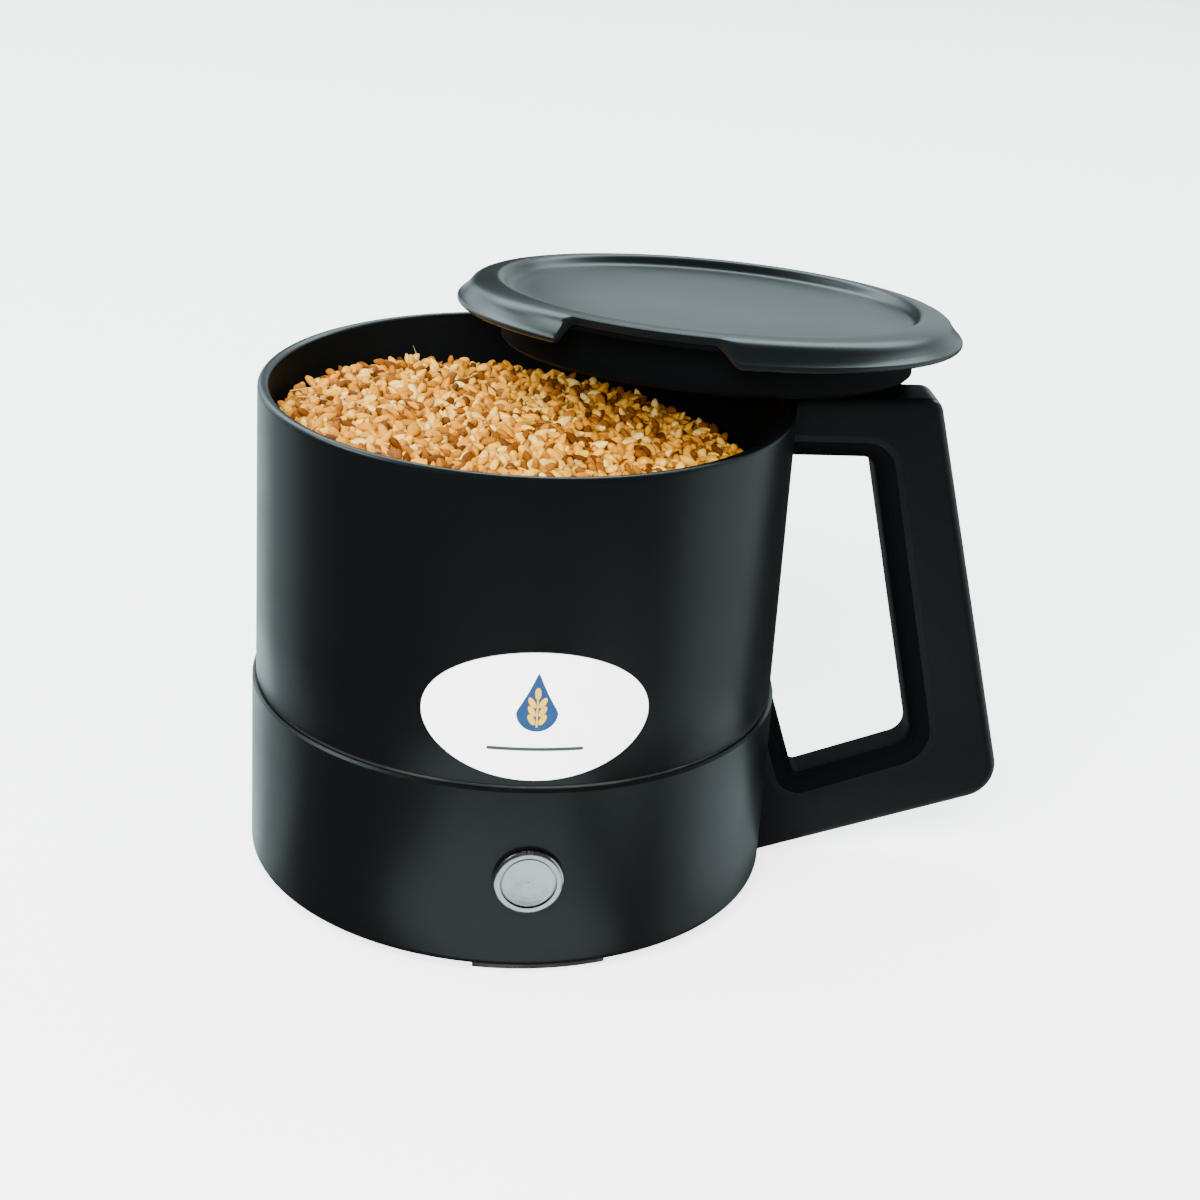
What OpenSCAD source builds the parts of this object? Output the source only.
// Cup-type grain moisture meter: a measuring cup on a base housing, with a side handle,
// a push button and a loose lid that lies askew on the back rim and on the handle.
// The cup's axis is +Z, the feet stand on z = 0, the handle points along +X and the button along -Y.

/* [Cup] */
// Outer radius of the measuring cup
cup_r = 70; // [66:0.5:74]
// Wall thickness of the cup
cup_wall = 3; // [2.4:0.1:3.6]
// Height of the cup's rim above the table
rim_z = 135.5; // [130:0.5:142]
// Height of the seam between the cup and the base housing
seam_z = 54.2; // [52:0.1:56]

/* [Base] */
// Outer radius of the base housing
base_r = 71; // [69:0.5:75]
// Height of the rubber feet below the base housing
foot_h = 3.5; // [2.5:0.1:4.5]
// Rounding of the base housing's bottom edge
base_round = 2; // [1:0.1:2.5]

/* [Button] */
// Height of the push button's axis above the table
button_z = 29.2; // [27:0.1:31]
// Outer radius of the push button's flange
button_flange_r = 8.9; // [8.6:0.1:9.4]
// Travel of the push button
button_travel = 1.5; // [1:0.1:1.6]

/* [Label] */
// Width of the oval label, measured straight across
label_w = 56; // [40:1:60]
// Height of the oval label
label_h = 34.4; // [24:0.2:35]
// Height of the label's centre above the table
label_z = 74; // [73:0.5:90]

/* [Handle] */
// Thickness of the handle, front to back
handle_t = 16.4; // [15:0.2:20]
// Height of the handle's top above the rim
handle_rise = 1.6; // [0.4:0.2:3]
// Rounding of the handle's outer edges
handle_edge = 2.6; // [1:0.2:3.4]
// How far the rounded edges of the handle's window reach over its front and back
window_edge_w = 7; // [3:0.5:7.5]
// How far those edges reach into the handle's thickness
window_edge_d = 5; // [2:0.2:5.4]

/* [Lid] */
// Radius of the lid's raised ring
lid_crest_r = 63.6; // [61:0.1:65]
// Depth of the sunken disc inside the raised ring
lid_pan_depth = 2.8; // [2:0.2:5]
// Tilt of the resting lid
lid_tilt = 5.8; // [4.6:0.1:6.2]

/* [Hidden] */
$fn = 96;

black_plastic = [0.05, 0.06, 0.065];
dark_rubber = [0.03, 0.03, 0.03];
steel = [0.75, 0.76, 0.78];
brass = [0.78, 0.6, 0.3];

cup_in_r = cup_r - cup_wall;
flange_in_r = 58;
flange_t = 5.2;
gasket_t = 0.7;
shell_z = seam_z + gasket_t;
floor_z = shell_z + flange_t;
floor_t = 3;
cell_z = floor_z + floor_t;

base_in_r = base_r - 3;
shelf_t = 3.2;
plate_z = foot_h + 1;
plate_t = 2.5;
plate_r = base_in_r - 0.3;
screw_ring_r = 60;
shell_screw_ring_r = 62.5;
plate_screw_turn = 49;
foot_turn = -86;

pcb_r = 50;
pcb_t = 1.6;
pcb_z = 40;
standoff_ring_r = 44;

cell_count = 4;
cell_r = 7.1;
cell_len = 50;
cell_pitch = 14.8;
cell_axis_z = 15.6;
box_x = 30;
box_y = cell_count * cell_pitch / 2 + 2.4;
box_top = 25;
door_x = [-28, 28.6];
door_y = 29.6;
door_gap = 0.4;
hinge_x = -31;
hinge_z = plate_z + 1;
hinge_y = [22, 26];

handle_top = rim_z + handle_rise;

// Outline helpers: every outline is convex and runs counter-clockwise.
function cross2(a, b) = a[0] * b[1] - a[1] * b[0];
function unit(v) = v / norm(v);
function inward(u) = [-u[1], u[0]];
function meet(p, u, q, v) = p + u * cross2(q - p, v) / cross2(u, v);
function moved_corner(a, b, c, d) =
    let (u = unit(b - a), v = unit(c - b))
    meet(b + inward(u) * d, u, b + inward(v) * d, v);
function moved(pts, d) =
    let (n = len(pts))
    [for (i = [0:n - 1]) moved_corner(pts[(i + n - 1) % n], pts[i], pts[(i + 1) % n], d)];
function corner_arc(a, b, c, r, steps) =
    let (
        u = unit(a - b),
        v = unit(c - b),
        half = acos(u * v) / 2,
        centre = b + unit(u + v) * r / sin(half),
        start = b + u * r / tan(half) - centre,
        first = atan2(start[1], start[0])
    )
    [for (k = [0:steps]) centre + r * [
        cos(first + k * (180 - 2 * half) / steps),
        sin(first + k * (180 - 2 * half) / steps)
    ]];
function rounded(pts, radii, d) =
    let (m = moved(pts, d), n = len(pts))
    [for (i = [0:n - 1])
        each corner_arc(m[(i + n - 1) % n], m[i], m[(i + 1) % n], max(radii[i] - d, 0.2), 8)];
function arc(centre, r, from, to, steps) =
    [for (k = [0:steps]) let (a = from + k * (to - from) / steps) centre + r * [cos(a), sin(a)]];
function oval(a, b, steps) =
    [for (k = [0:steps - 1]) [a * cos(k * 360 / steps), b * sin(k * 360 / steps)]];

// Closed skin over outlines with equal point counts, outlines[k] lying at height heights[k].
module loft(outlines, heights) {
    n = len(outlines[0]);
    m = len(outlines);
    points = [for (k = [0:m - 1]) for (p = outlines[k]) [p[0], p[1], heights[k]]];
    bottom = [for (i = [0:n - 1]) i];
    top = [for (i = [n - 1:-1:0]) (m - 1) * n + i];
    sides = [for (k = [0:m - 2]) for (i = [0:n - 1])
        [k * n + i, (k + 1) * n + i, (k + 1) * n + (i + 1) % n, k * n + (i + 1) % n]];
    polyhedron(points, concat([bottom, top], sides), convexity = 6);
}

// Round wire swept along a list of points.
function path_dir(pts, i) = unit(pts[min(i + 1, len(pts) - 1)] - pts[max(i - 1, 0)]);
function across(d) = abs(d[2]) < 0.9 ? unit(cross(d, [0, 0, 1])) : unit(cross(d, [1, 0, 0]));
module wire(pts, r, sides = 8) {
    m = len(pts);
    points = [for (i = [0:m - 1])
        let (d = path_dir(pts, i), e = across(d), f = cross(d, e))
        for (k = [0:sides - 1]) pts[i] + r * (cos(k * 360 / sides) * e + sin(k * 360 / sides) * f)];
    start = [for (k = [sides - 1:-1:0]) k];
    finish = [for (k = [0:sides - 1]) (m - 1) * sides + k];
    near = [for (i = [0:m - 2]) for (k = [0:sides - 1])
        [i * sides + k, i * sides + (k + 1) % sides, (i + 1) * sides + k]];
    far = [for (i = [0:m - 2]) for (k = [0:sides - 1])
        [i * sides + (k + 1) % sides, (i + 1) * sides + (k + 1) % sides, (i + 1) * sides + k]];
    polyhedron(points, concat([start, finish], near, far), convexity = 10);
}
function helix(r, length, turns, steps) =
    [for (i = [0:turns * steps])
        [r * cos(i * 360 / steps), r * sin(i * 360 / steps), length * i / (turns * steps)]];

module around(count, ring_r, turn = 0) {
    for (k = [0:count - 1]) {
        rotate([0, 0, turn + k * 360 / count]) translate([ring_r, 0, 0]) children();
    }
}
module tube(outer, inner, from, to) {
    translate([0, 0, from]) difference() {
        cylinder(r = outer, h = to - from);
        translate([0, 0, -1]) cylinder(r = inner, h = to - from + 2);
    }
}
module drill(r, from, to) {
    translate([0, 0, from]) cylinder(r = r, h = to - from, $fn = 32);
}
// Places children on the button's axis: local +z runs inwards, from y = -base_r.
module button_axis() {
    translate([0, -base_r, button_z]) rotate([-90, 0, 0]) children();
}

// ---------------------------------------------------------------- cup
lug_t = 5;
lug_half_h = 3.6;
top_lug = [79.5, handle_top - 7.3];
base_lug = [78.6, 13.2];

module lug(centre, reach_in, half_h) {
    difference() {
        translate([reach_in, -lug_t / 2, centre[1] - half_h])
            cube([centre[0] + half_h - reach_in, lug_t, 2 * half_h]);
        translate([centre[0], lug_t, centre[1]])
            rotate([90, 0, 0]) cylinder(r = 1.7, h = 2 * lug_t, $fn = 32);
    }
}

module upper_shell() {
    rim_round = cup_wall / 2 - 0.1;
    wall = concat(
        [[flange_in_r, shell_z], [cup_r - 0.4, shell_z], [cup_r, shell_z + 0.4]],
        arc([cup_r - rim_round, rim_z - rim_round], rim_round, 0, 90, 8),
        arc([cup_in_r + rim_round, rim_z - rim_round], rim_round, 90, 180, 8),
        [[cup_in_r, floor_z], [flange_in_r, floor_z]]
    );
    color(black_plastic) difference() {
        union() {
            rotate_extrude($fn = 180) polygon(wall);
            lug(top_lug, cup_r - 0.5, lug_half_h);
        }
        around(4, shell_screw_ring_r, foot_turn + 90) drill(1.5, shell_z - 1, floor_z - 0.7);
    }
}

module cell_floor() {
    color([0.12, 0.13, 0.14]) difference() {
        translate([0, 0, floor_z]) cylinder(r = cup_in_r - 0.1, h = floor_t, $fn = 180);
        drill(2.6, floor_z - 1, cell_z + 1);
        rotate([0, 0, 200]) translate([38, 0, 0]) drill(2.1, floor_z - 1, cell_z + 1);
        around(4, standoff_ring_r, 45) drill(1.5, floor_z - 1, floor_z + 2);
    }
}

module outer_electrode() {
    color(steel) tube(cup_in_r - 0.3, cup_in_r - 1.1, cell_z, cell_z + 38);
}

module centre_electrode() {
    base_post_r = 15;
    top_post_r = 10;
    post_h = 32;
    tip_r = 3;
    profile = concat(
        [[0, 0], [base_post_r, 0], [base_post_r, 3]],
        arc([top_post_r - tip_r, post_h - tip_r], tip_r, 0, 90, 8),
        [[0, post_h]]
    );
    color(steel) difference() {
        translate([0, 0, cell_z]) rotate_extrude() polygon(profile);
        drill(2.5, cell_z - 1, cell_z + 12);
    }
}

module electrode_screw() {
    color(brass) union() {
        translate([0, 0, floor_z - 3]) cylinder(r = 4.5, h = 3, $fn = 48);
        drill(2.45, floor_z - 0.5, cell_z + 11);
    }
}

module temperature_probe() {
    profile = concat(
        [[0, floor_z - 4], [2, floor_z - 4], [2, cell_z], [4, cell_z], [4, cell_z + 2], [2, cell_z + 2]],
        arc([0, cell_z + 24], 2, 0, 90, 6)
    );
    color(steel) rotate([0, 0, 200]) translate([38, 0, 0]) rotate_extrude($fn = 48) polygon(profile);
}

module seam_gasket() {
    color(dark_rubber) difference() {
        tube(cup_r - 0.3, flange_in_r + 1, seam_z, shell_z);
        around(4, shell_screw_ring_r, foot_turn + 90) drill(1.7, seam_z - 1, shell_z + 1);
    }
}

// ---------------------------------------------------------------- base
module base_housing() {
    pad_r = 12.5;
    skin = concat(
        [[base_in_r, foot_h]],
        arc([base_r - base_round, foot_h + base_round], base_round, -90, 0, 8),
        [[base_r, seam_z - 0.6], [base_r - 0.6, seam_z], [flange_in_r + 1, seam_z],
         [flange_in_r + 1, seam_z - shelf_t], [base_in_r, seam_z - shelf_t]]
    );
    color(black_plastic) difference() {
        union() {
            rotate_extrude($fn = 180) polygon(skin);
            around(4, screw_ring_r, plate_screw_turn) tube(4, 1.5, plate_z + plate_t, seam_z - shelf_t + 0.5);
            around(4, screw_ring_r, plate_screw_turn) drill(4, plate_z + plate_t + 16, seam_z - shelf_t + 0.5);
            intersection() {
                button_axis() cylinder(r = pad_r, h = 4.2);
                cylinder(r = base_r - 1, h = seam_z);
            }
            lug(base_lug, base_r - 0.5, lug_half_h);
        }
        button_axis() translate([0, 0, -1]) cylinder(r = 8, h = 8);
        button_axis() translate([0, 0, -1]) cylinder(r = button_flange_r + 0.4, h = 1.7);
        around(4, shell_screw_ring_r, foot_turn + 90) drill(1.7, seam_z - shelf_t - 1, seam_z + 1);
    }
}

module shell_screws() {
    head_h = 2.2;
    color(steel) around(4, shell_screw_ring_r, foot_turn + 90) union() {
        drill(2.8, seam_z - shelf_t - head_h, seam_z - shelf_t);
        drill(1.45, seam_z - shelf_t - 0.5, floor_z - 1);
    }
}

module base_plate() {
    lug_r = 2.6;
    color(black_plastic) difference() {
        union() {
            translate([0, 0, plate_z]) cylinder(r = plate_r, h = plate_t, $fn = 180);
            for (s = [-1, 1]) {
                translate([hinge_x, s * (hinge_y[0] + hinge_y[1]) / 2, hinge_z])
                    rotate([90, 0, 0]) cylinder(r = lug_r, h = 4, center = true, $fn = 48);
            }
        }
        translate([door_x[0] - door_gap, -door_y - door_gap, plate_z - 3])
            cube([door_x[1] - door_x[0] + 2 * door_gap, 2 * (door_y + door_gap), 8]);
        translate([hinge_x - 2.2, -hinge_y[0] + 0.05, plate_z - 3])
            cube([6, 2 * hinge_y[0] - 0.1, 8]);
        translate([hinge_x, 0, hinge_z])
            rotate([90, 0, 0]) cylinder(r = 1.25, h = 2 * hinge_y[1] + 1, center = true, $fn = 48);
        around(4, screw_ring_r, plate_screw_turn) drill(1.7, plate_z - 1, plate_z + plate_t + 1);
        around(4, screw_ring_r, plate_screw_turn) drill(3.1, plate_z - 1, plate_z + 1.2);
        translate([door_x[1] - 1, -4.5, plate_z - 1]) cube([3.2, 9, plate_t + 2]);
    }
}

module base_screws() {
    color(steel) around(4, screw_ring_r, plate_screw_turn) union() {
        drill(2.8, plate_z + 0.1, plate_z + 1.2);
        drill(1.45, plate_z + 1, plate_z + 14);
    }
}

module rubber_feet() {
    span = 30;
    color(dark_rubber) for (k = [0:3]) {
        rotate([0, 0, foot_turn + 90 * k - span / 2])
            rotate_extrude(angle = span, $fn = 120)
                polygon([[58.5, 0.6], [59.1, 0], [65.9, 0], [66.5, 0.6], [66.5, plate_z], [58.5, plate_z]]);
    }
}

// ---------------------------------------------------------------- electronics
// Leads stop this far short of what they are soldered to.
lead_gap = 0.1;
plug_z = pcb_z - 5 - lead_gap;

module main_pcb() {
    color([0.05, 0.3, 0.15]) difference() {
        translate([0, 0, pcb_z]) cylinder(r = pcb_r, h = pcb_t);
        around(4, standoff_ring_r, 45) drill(1.6, pcb_z - 1, pcb_z + pcb_t + 1);
    }
}

module pcb_components() {
    under = pcb_z - 2.2;
    over = pcb_z + pcb_t;
    color([0.1, 0.1, 0.11]) {
        translate([-6, -6, over]) cube([12, 12, 1.6]);
        translate([14, 8, over]) cube([7, 5, 1.6]);
        translate([-24, 10, over]) cube([9, 7, 1.8]);
        translate([16, -16, over]) cylinder(r = 3.2, h = 6, $fn = 32);
        translate([-20, -18, over]) cylinder(r = 2.6, h = 5, $fn = 32);
        translate([-31, 17, under - 2.8]) cube([8, 6, 5]);
        translate([-5, -38, under - 2.8]) cube([10, 6, 5]);
    }
}

module radio_module() {
    color(steel) translate([18, -9, pcb_z - 2.4]) union() {
        cube([18, 18, 2.4]);
        translate([18, 2, 1.6]) cube([7, 14, 0.8]);
    }
}

module pcb_standoffs() {
    low = pcb_z + pcb_t;
    color(brass) around(4, standoff_ring_r, 45) difference() {
        union() {
            translate([0, 0, low]) cylinder(r = 3.1, h = floor_z - low, $fn = 6);
            drill(1.45, floor_z - 1, floor_z + 1.9);
        }
        drill(1.25, low - 1, low + 8);
    }
}

module pcb_screws() {
    color(steel) around(4, standoff_ring_r, 45) union() {
        drill(2.7, pcb_z - 2, pcb_z);
        drill(1.2, pcb_z - 0.5, pcb_z + pcb_t + 6);
    }
}

function cell_y(k) = (k - (cell_count - 1) / 2) * cell_pitch;

module battery_box() {
    low = plate_z + plate_t;
    color([0.09, 0.1, 0.11]) difference() {
        translate([-box_x - 1.6, -box_y - 1.6, low]) cube([2 * box_x + 3.2, 2 * box_y + 3.2, box_top - low]);
        translate([-box_x, -box_y, low - 1]) cube([2 * box_x, 2 * box_y, box_top - low - 0.6]);
        translate([-box_x - 4, -hinge_y[1] - 3, low - 1]) cube([8, 2 * hinge_y[1] + 6, 2.4]);
    }
}

module batteries() {
    nub = 1.4;
    color([0.55, 0.4, 0.2]) for (k = [0:cell_count - 1]) {
        side = k % 2 == 0 ? 1 : -1;
        translate([side * 1.6, cell_y(k), cell_axis_z]) rotate([0, side * 90, 0]) union() {
            translate([0, 0, -cell_len / 2]) cylinder(r = cell_r, h = cell_len - nub, $fn = 64);
            translate([0, 0, cell_len / 2 - nub - 0.1]) cylinder(r = 2.7, h = nub + 0.1, $fn = 32);
        }
    }
}

module battery_springs() {
    length = box_x - cell_len / 2 - 0.5 + 1.6;
    color(steel) for (k = [0:cell_count - 1]) {
        side = k % 2 == 0 ? 1 : -1;
        translate([-side * (box_x - 0.5), cell_y(k), cell_axis_z])
            rotate([0, side * 90, 0]) translate([0, 0, 0.45]) wire(helix(3.6, length - 0.9, 3, 12), 0.35, 6);
    }
}

module battery_contacts() {
    color(steel) for (k = [0:cell_count - 1]) for (s = [-1, 1]) {
        translate([s * (box_x - 0.25) - 0.25, cell_y(k) - 5.5, cell_axis_z - 5.5]) cube([0.5, 11, 11]);
    }
}

module battery_door() {
    knuckle_r = 1.9;
    color(black_plastic) difference() {
        union() {
            translate([door_x[0], -door_y, plate_z]) cube([door_x[1] - door_x[0], 2 * door_y, 2]);
            translate([hinge_x, -hinge_y[0] + 0.3, plate_z])
                cube([door_x[0] - hinge_x + 0.1, 2 * hinge_y[0] - 0.6, 2]);
            translate([hinge_x, 0, hinge_z])
                rotate([90, 0, 0]) cylinder(r = knuckle_r, h = 2 * hinge_y[0] - 0.6, center = true, $fn = 48);
            translate([hinge_x, 0, hinge_z])
                rotate([90, 0, 0]) cylinder(r = 1.2, h = 2 * hinge_y[1], center = true, $fn = 48);
            translate([door_x[1] - 1.2, -4, plate_z]) cube([2.2, 8, 2]);
        }
        translate([door_x[1] - 6, 0, plate_z - 9.2])
            rotate([90, 0, 0]) cylinder(r = 10, h = 12, center = true, $fn = 48);
    }
}

module battery_lead() {
    color([0.6, 0.1, 0.1]) for (s = [0, 1]) {
        wire([
            [-24 - 3 * s, 20, box_top + lead_gap], [-24 - 3 * s, 20, box_top + 3],
            [-25 - 3 * s, 20.3, box_top + 6], [-26 - 1.6 * s, 20.5, box_top + 8], [-26 - 1.6 * s, 20.5, plug_z]
        ], 0.6);
    }
}

module button_lead() {
    tail_y = -base_r + 31 + lead_gap;
    color([0.15, 0.2, 0.6]) for (s = [-1, 1]) {
        wire([
            [s * 3, tail_y, button_z], [s * 3, tail_y + 2, button_z], [s * 2.8, tail_y + 3.6, button_z + 1.4],
            [s * 2.4, -35, button_z + 3.4], [s * 2.2, -35, plug_z - 1], [s * 2.2, -35, plug_z]
        ], 0.6);
    }
}

module electrode_lead() {
    color([0.8, 0.7, 0.1]) wire([
        [3, 0, pcb_z + pcb_t + 1.6 + lead_gap], [3, 0, pcb_z + pcb_t + 6], [3.6, 0.6, pcb_z + pcb_t + 9],
        [3, 0, floor_z - 5], [3, 0, floor_z - 3 - lead_gap]
    ], 0.6);
}

// ---------------------------------------------------------------- button
proud = 1.9;
cap_r = 7.1;
cap_seat = 2.4;
barrel_r = 7.9;
barrel_end = 15;

module button_bezel() {
    edge = 0.9;
    profile = concat(
        [[cap_r + 0.1, -proud]],
        arc([button_flange_r - edge, edge - proud], edge, -90, 0, 6),
        [[button_flange_r, 0.1], [barrel_r, 0.1], [barrel_r, barrel_end], [3, barrel_end],
         [3, barrel_end - 2], [5.4, barrel_end - 2], [5.4, cap_seat], [cap_r + 0.1, cap_seat]]
    );
    color(steel) button_axis() rotate_extrude() polygon(profile);
}

module button_cap() {
    dish_r = 42;
    face = -proud + 0.15;
    dish = [for (k = [0:6]) let (r = (cap_r - 0.5) * k / 6)
        [r, face + 0.55 - (dish_r - sqrt(dish_r * dish_r - r * r))]];
    back = cap_seat - button_travel - 0.1;
    profile = concat(
        dish,
        [[cap_r, face + 0.4], [cap_r, back], [2.9, back], [2.9, barrel_end - 0.4], [0, barrel_end - 0.4]]
    );
    color(steel) button_axis() rotate_extrude() polygon(profile);
}

module button_spring() {
    low = cap_seat - button_travel - 0.1;
    length = barrel_end - 2 - low;
    color(steel) button_axis() translate([0, 0, low + 0.35]) wire(helix(4.2, length - 0.7, 5, 14), 0.3, 6);
}

module button_seal() {
    color(dark_rubber) button_axis() tube(button_flange_r - 0.2, barrel_r, 0.1, 0.7);
}

module button_nut() {
    color(steel) button_axis() difference() {
        translate([0, 0, 4.2]) cylinder(r = 11, h = 2.6, $fn = 6);
        cylinder(r = barrel_r + 0.05, h = 10, $fn = 64);
    }
}

module button_switch() {
    body_end = 27;
    color([0.08, 0.08, 0.09]) button_axis() union() {
        difference() {
            translate([0, 0, barrel_end]) cylinder(r = 7.6, h = body_end - barrel_end);
            translate([0, 0, barrel_end - 1]) cylinder(r = 3.6, h = 4, $fn = 48);
        }
        for (s = [-1, 1]) translate([s * 3 - 0.4, -1, body_end - 0.5]) cube([0.8, 2, 4.5]);
    }
}

// ---------------------------------------------------------------- handle
// Outline of the handle and of its window in the x, z plane.
handle_slope = -0.2667;
outer_foot = [139.1, 22.3];
outer_top = [outer_foot[0] + handle_slope * (handle_top - outer_foot[1]), handle_top];
body_foot = [60, -1.2];
handle_pts = [body_foot, outer_foot, outer_top, [60, handle_top]];
handle_radii = [0.5, 9.5, 4, 0.5];
window_top = handle_top - 17.3;
window_pts = [[79.6, 25.6], [112.2, 36.6], [92.1, window_top], [60, window_top], [60, 84]];
window_radii = [2, 5, 3.5, 0.5, 0.5];
handle_wall = 2.5;
handle_screw_at = [top_lug, [103, handle_top - 8], [125, 28.5], base_lug];

// Steps of an elliptic edge, w wide and d deep: how far it draws in, and at what height.
function edge_steps(w, d) = [for (a = [0:15:90]) [w * (1 - cos(a)), handle_t / 2 - d * (1 - sin(a))]];

module handle_body() {
    outer = edge_steps(handle_edge, handle_edge);
    inner = edge_steps(window_edge_w, window_edge_d);
    difference() {
        loft(
            concat([rounded(handle_pts, handle_radii, 0)],
                   [for (s = outer) rounded(handle_pts, handle_radii, s[0])]),
            concat([0], [for (s = outer) s[1]])
        );
        loft(
            concat([rounded(window_pts, window_radii, 0)],
                   [for (s = inner) rounded(window_pts, window_radii, -s[0])],
                   [rounded(window_pts, window_radii, -window_edge_w)]),
            concat([-1], [for (s = inner) s[1]], [handle_t / 2 + 1])
        );
    }
}

module handle_pocket() {
    translate([0, 0, -1]) difference() {
        linear_extrude(handle_t / 2 - handle_wall + 1) polygon(rounded(handle_pts, handle_radii, handle_wall));
        translate([0, 0, -1]) linear_extrude(handle_t)
            polygon(rounded(window_pts, window_radii, -handle_wall));
    }
}

// One half, lying with its parting face on local z = 0; the whole handle is turned upright after.
module handle_half(boss_in) {
    difference() {
        union() {
            difference() {
                handle_body();
                intersection() {
                    handle_pocket();
                    translate([cup_r + handle_wall + 1, 0, -2]) cube([80, 160, handle_t]);
                }
            }
            for (p = handle_screw_at) {
                low = p == top_lug || p == base_lug ? lug_t / 2 + 0.05 : 0;
                translate([p[0], p[1], low]) cylinder(r = 3.6, h = handle_t / 2 - 1 - low, $fn = 48);
            }
        }
        for (p = handle_screw_at) translate([p[0], p[1], 0]) {
            if (boss_in) {
                translate([0, 0, -1]) cylinder(r = 1.5, h = handle_t / 2 - 1, $fn = 32);
            } else {
                translate([0, 0, -1]) cylinder(r = 1.7, h = handle_t, $fn = 32);
                translate([0, 0, handle_t / 2 - 3]) cylinder(r = 3, h = 8, $fn = 48);
            }
        }
        lug_slot(top_lug, lug_half_h);
        lug_slot(base_lug, lug_half_h);
    }
}

module lug_slot(centre, half_h) {
    gap = 0.15;
    translate([cup_r - 2, centre[1] - half_h - gap, -1])
        cube([centre[0] + half_h + gap - cup_r + 2, 2 * (half_h + gap), lug_t / 2 + 1.05]);
}

module cup_cut() {
    cylinder(r = cup_r, h = 200, $fn = 180);
    translate([0, 0, -5]) cylinder(r = base_r, h = shell_z + 5, $fn = 180);
}

module handle_front() {
    color(black_plastic) difference() {
        rotate([90, 0, 0]) handle_half(true);
        cup_cut();
    }
}

module handle_back() {
    color(black_plastic) difference() {
        mirror([0, 1, 0]) rotate([90, 0, 0]) handle_half(false);
        cup_cut();
    }
}

module handle_screws() {
    head_top = handle_t / 2 - 0.7;
    color(steel) for (p = handle_screw_at) {
        translate([p[0], 0, p[1]]) rotate([-90, 0, 0]) difference() {
            union() {
                translate([0, 0, handle_t / 2 - 3]) cylinder(r = 2.8, h = head_top - handle_t / 2 + 3, $fn = 48);
                translate([0, 0, -handle_t / 2 + 2.4]) cylinder(r = 1.45, h = handle_t - 5, $fn = 32);
            }
            translate([0, 0, head_top - 1.3]) cylinder(r = 1.25, h = 2, $fn = 6);
        }
    }
}

module label_plate() {
    color("white") intersection() {
        tube(cup_r + 0.35, cup_r, label_z - 25, label_z + 25, $fn = 180);
        translate([0, 0, label_z]) rotate([90, 0, 0])
            linear_extrude(cup_r + 5) polygon(oval(label_w / 2, label_h / 2, 72));
    }
}

// ---------------------------------------------------------------- lid
lid_centre = [50.7, 27.6, 154.7];
lid_lean = 68.3;
lid_rim_r = lid_crest_r + 5;
lid_edge_z = -7.2;
plug_r = 56;
plug_low = -16.5;

module lid_place() {
    translate(lid_centre) rotate([0, 0, lid_lean]) rotate([0, lid_tilt, 0]) rotate([0, 0, -lid_lean])
        children();
}

module lid_cap() {
    pan_r = 53.2;
    ring_in = 56;
    skin = 2;
    profile = concat(
        [[0, -lid_pan_depth], [pan_r, -lid_pan_depth], [pan_r + 1.2, 0.2 - lid_pan_depth]],
        [[ring_in, -1], [ring_in + 1, -0.35], [ring_in + 2.4, -0.06], [ring_in + 4.2, 0]],
        [[lid_crest_r - 0.7, -0.3], [lid_crest_r + 0.4, -0.75], [lid_crest_r + 1.3, -1.5]],
        [[lid_rim_r - 0.9, lid_edge_z + 2.6], [lid_rim_r - 0.6, lid_edge_z + 1.9]],
        arc([lid_rim_r - 0.9, lid_edge_z + 0.9], 0.9, 60, -90, 6),
        [[lid_rim_r - 2.6, lid_edge_z], [lid_crest_r - 1.2, -3], [plug_r, -lid_pan_depth - skin],
         [0, -lid_pan_depth - skin]]
    );
    notch_from = -133;
    notch_span = 38;
    color([0.2, 0.22, 0.23]) lid_place() difference() {
        rotate_extrude($fn = 180) polygon(profile);
        rotate([0, 0, notch_from]) rotate_extrude(angle = notch_span, $fn = 180)
            polygon([[lid_crest_r - 0.9, 1], [lid_rim_r + 2, 1], [lid_rim_r + 2, lid_edge_z - 1],
                     [lid_crest_r - 3.2, lid_edge_z - 1], [lid_crest_r - 0.9, -2.4]]);
    }
}

module lid_plug() {
    low = plug_low;
    high = -lid_pan_depth - 2;
    color(black_plastic) lid_place() rotate_extrude($fn = 180) polygon(concat(
        [[0, low], [plug_r - 1, low], [plug_r, low + 1], [plug_r, high], [plug_r - 2.4, high]],
        [[plug_r - 2.4, low + 2], [0, low + 2]]
    ));
}

upper_shell();
cell_floor();
outer_electrode();
centre_electrode();
electrode_screw();
temperature_probe();
seam_gasket();
base_housing();
shell_screws();
base_plate();
base_screws();
rubber_feet();
main_pcb();
pcb_components();
radio_module();
pcb_standoffs();
pcb_screws();
battery_box();
battery_springs();
battery_contacts();
batteries();
battery_door();
battery_lead();
button_lead();
electrode_lead();
button_bezel();
button_cap();
button_spring();
button_seal();
button_nut();
button_switch();
handle_front();
handle_back();
handle_screws();
label_plate();
lid_cap();
lid_plug();
